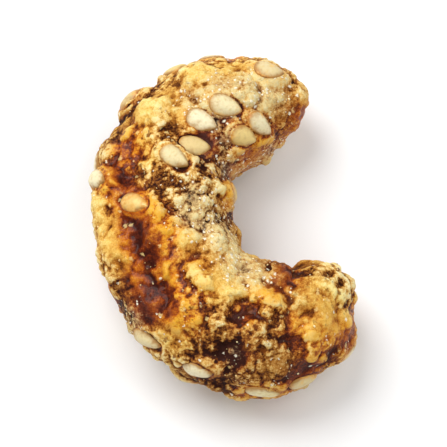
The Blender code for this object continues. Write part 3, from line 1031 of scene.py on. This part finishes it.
# %% Build the tree that sets the seeds
DENT_SIZE = 1.0 * MM         # of the clouds that dent the seeds

tree, given, out = new_tree("sesame seeds", "GeometryNodeTree", {
    "Geometry": "Geometry",
    "Seed Length": SEED_LENGTH,
    "Seed Width": SEED_WIDTH,
    "Seed Thickness": SEED_THICKNESS,
    "Taper": 0.32,
    "Dent Depth": 0.12 * MM,
    "Material": "Material",
}, {"Geometry": "Geometry"})
ball = output("GeometryNodeMeshUVSphere", {"Segments": 28, "Rings": 18, "Radius": 1.0}, tree)
position = output("GeometryNodeInputPosition", {}, tree)
x, y, z = split(position)
narrowing = calc("SUBTRACT", 1.0, multiply(z, given["Taper"]))
slim = multiply(narrowing, remap(z, 0.55, 1.0, 1.0, 0.72))
rim = remap(calc("ABSOLUTE", x), 0.3, 1.0, 1.0, 0.6)
shaped = output("ShaderNodeCombineXYZ", {
    "X": multiply(z, given["Seed Length"], 0.5),
    "Y": multiply(x, slim, given["Seed Width"], 0.5),
    "Z": multiply(y, rim, given["Seed Thickness"], 0.5),
})
marked = keep_number(ball, "height_on_seed", y)
marked = keep_number(marked, "along_seed", z)
copies = output("GeometryNodeInstanceOnPoints", {
    "Points": given["Geometry"],
    "Instance": set_position(marked, Position=shaped),
    "Rotation": read_value(tree, "turn", "QUATERNION"),
    "Scale": read_value(tree, "size", "FLOAT_VECTOR"),
})
whole = output("GeometryNodeRealizeInstances", {"Geometry": copies})
push = calc_vector("SCALE", noise(position, 1 / DENT_SIZE)[1], given["Dent Depth"])
above = above_table(set_position(whole, Offset=push), position)
feed(out, {"Geometry": dressed(above, given["Material"])})
print("the seeds' tree has", len(tree.nodes), "nodes")

# %% Set the seeds
SIZE_SPREAD = (0.9, 1.08)    # how much smaller or larger than usual a seed may be, each way

data = bpy.data.meshes.new("seed_points")
data.from_pydata([pose.translation for pose in SEED_POSES], [], [])
draw = random.Random(SCATTER_SEED)
sizes = [[draw.uniform(*SIZE_SPREAD) for _ in range(3)] for _ in SEED_POSES]
store(data, "size", sizes, "FLOAT_VECTOR")
store(data, "turn", [pose.to_quaternion() for pose in SEED_POSES], "QUATERNION")
store(data, "tint", [row[3] for row in SEED_ROWS])
store(data, "soak", [row[4] for row in SEED_ROWS])
seeds = object_from("sesame_seeds", data)
grow(seeds, tree, material=SEED_MATERIAL)
print("sesame seeds:", len(seeds.data.polygons), "faces in", len(SEED_POSES), "seeds")

# %% [markdown]
# ## Sugar crumbs
# Loose sugar sticks to the caramel as crumbs a tenth to a third of a millimetre across. A crumb is the
# same sugar, only drier, so its tone sits at the pale end. There are hundreds, so each has only a few
# faces. A tree throws points on the crust, more where the sugar patches are and none near the table,
# sets a small stone on each, and turns and squashes every one by chance.

# %% Make the crumbs' material
CRUMB_NOISE = {"clouds": (0.7,)}  # size in millimetres

CRUMB_MATERIAL, shader = empty_material("sugar_crumb")
tone = mixed(noises(place_on(CRUMB_MATERIAL), CRUMB_NOISE), 0.78, clouds=1.6)
feed(shader, {
    "Base Color": group(CARAMEL, Tone=tone),
    "Roughness": remap(tone, 0.4, 1.0, 0.35, 0.6),
    "Coat Weight": 0.3,
    "Coat Roughness": 0.15,
})
print("the crumbs' material has", len(CRUMB_MATERIAL.node_tree.nodes), "nodes")

# %% Build the tree that throws the crumbs
CRUMB_SQUASH = (0.55, 1.0)   # how flat a stone may get, each way
MOSTLY_SMALL = 2.5           # 1 gives crumbs of all sizes alike, more gives fewer large ones
STONE_FACES = 20             # of the simplest icosphere

tree, given, out = new_tree("sugar crumbs", "GeometryNodeTree", {
    "Geometry": "Geometry",
    "Crumbs Per Square Millimetre": 2.4,
    "Smallest": 0.05 * MM,
    "Largest": 0.16 * MM,
    "Lowest Place": 0.4 * MM,
    "Chance Seed": 3,
    "Material": "Material",
}, {"Geometry": "Geometry"})


def random_vector(step, low, high):
    """Three random numbers for each crumb."""
    seed = calc("ADD", given["Chance Seed"], step)
    inputs = {"Min": (low,) * 3, "Max": (high,) * 3, "Seed": seed}
    return output("FunctionNodeRandomValue", inputs, data_type="FLOAT_VECTOR")


height = split(output("GeometryNodeInputPosition", {}, tree))[2]
share = remap(read_value(tree, "sugar"), 0.1, 0.9, 0.08, 1.0)
share = multiply(share, calc("GREATER_THAN", height, given["Lowest Place"]))
per_area = multiply(given["Crumbs Per Square Millimetre"], 1 / MM**2)
thrown = output("GeometryNodeDistributePointsOnFaces", {
    "Mesh": given["Geometry"],
    "Density": multiply(per_area, share),
    "Seed": given["Chance Seed"],
})
turn = random_vector(0, 0.0, math.tau)
squash = random_vector(1, *CRUMB_SQUASH)
drawn = calc("POWER", split(random_vector(2, 0.0, 1.0))[0], MOSTLY_SMALL)
radius = remap(drawn, 0.0, 1.0, given["Smallest"], given["Largest"], smooth=False)
copies = output("GeometryNodeInstanceOnPoints", {
    "Points": thrown,
    "Instance": output("GeometryNodeMeshIcoSphere", {"Radius": 1.0, "Subdivisions": 1}, tree),
    "Rotation": turn,
    "Scale": calc_vector("SCALE", squash, radius),
})
feed(out, {"Geometry": dressed(copies, given["Material"])})
crumbs = object_from("sugar_crumbs", crust.data.copy())
grow(crumbs, tree, material=CRUMB_MATERIAL)
print("sugar crumbs:", len(crumbs.data.polygons) // STONE_FACES, "stones of", STONE_FACES, "faces each")

# %% [markdown]
# ## The table, the light and the camera
# The nut lies on a plain white table under soft studio light: broad lamps all round it, the strongest
# high on the left, and a faint sky. A bright sky would be simpler, but the glossy caramel would mirror
# it everywhere and look milky, while lamps leave dark gaps between their reflections. The camera looks
# down at 72 degrees through a long lens, which keeps the near and the far end of the nut the same size.

# %% Set the table and the lights
TABLE_SIZE = 1.2
TABLE_WHITE = (0.90, 0.90, 0.90)
LAMP_DISTANCE = 0.40
LAMPS = (
    # name, azimuth from +X and elevation in degrees, width in metres, power in watts
    ("key lamp", 138, 54, 0.36, 1.65),
    ("right lamp", 15, 50, 0.36, 0.62),
    ("front lamp", 270, 48, 0.36, 0.40),
)
SKY_STRENGTH = 0.26

data = bpy.data.meshes.new("table")
half = TABLE_SIZE / 2
corners = [(-half, -half, 0), (half, -half, 0), (half, half, 0), (-half, half, 0)]
data.from_pydata(corners, [], [(0, 1, 2, 3)])
material, shader = empty_material("white_table")
feed(shader, {"Base Color": TABLE_WHITE, "Roughness": 0.8})
data.materials.append(material)
object_from("table", data)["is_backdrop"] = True
for name, azimuth, elevation, width, power in LAMPS:
    data = bpy.data.lights.new(name, "AREA")
    data.shape = "DISK"
    data.size = width
    data.energy = power
    turn, lift = math.radians(azimuth), math.radians(elevation)
    way = Vector((math.cos(turn) * math.cos(lift), math.sin(turn) * math.cos(lift), math.sin(lift)))
    lamp = object_from(name, data)
    lamp.location = way * LAMP_DISTANCE
    lamp.rotation_euler = (-way).to_track_quat("-Z", "Y").to_euler()
sky = bpy.data.worlds.new("sky")
sky.use_nodes = True
feed(sky.node_tree.nodes["Background"], {"Strength": SKY_STRENGTH, "Color": (1.0, 1.0, 1.0)})
bpy.context.scene.world = sky
bpy.context.scene.view_settings.view_transform = "Standard"
print("lamps:", [name for name, *_ in LAMPS])

# %% Aim the camera
CAMERA_ELEVATION = 72.0      # degrees above the table
CAMERA_DISTANCE = 0.5
VIEW_HEIGHT = 39 * MM        # what the picture takes in at the nut, from its lower to its upper edge
AIM = Vector((0.0, 0.0, 5.6 * MM))
SENSOR = 36.0                # millimetres, the width and height of the square picture

angle = math.radians(CAMERA_ELEVATION)
back = Vector((0, -math.cos(angle), math.sin(angle)))
data = bpy.data.cameras.new("camera")
data.sensor_width = SENSOR
data.lens = SENSOR * CAMERA_DISTANCE / VIEW_HEIGHT
data.clip_start = 0.01
camera = object_from("camera", data)
camera.location = AIM + back * CAMERA_DISTANCE
camera.rotation_euler = back.to_track_quat("Z", "Y").to_euler()
bpy.context.scene.camera = camera
print(f"the lens is {data.lens:.0f} mm long")

# %% [markdown]
# ## Handing the pieces over
# The finished crust stands for the nut's solid model, and the seeds and crumbs ride on the same body.
# The box of the finished nut is printed.

# %% Tie the pieces to the frame
for piece in (crust, seeds, crumbs):
    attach(piece, "root")
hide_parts("caramelized_cashew")

shown_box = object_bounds()
millimetres = [tuple(round(v / MM, 2) for v in corner) for corner in shown_box]
print("the finished nut reaches from", *millimetres, "mm")
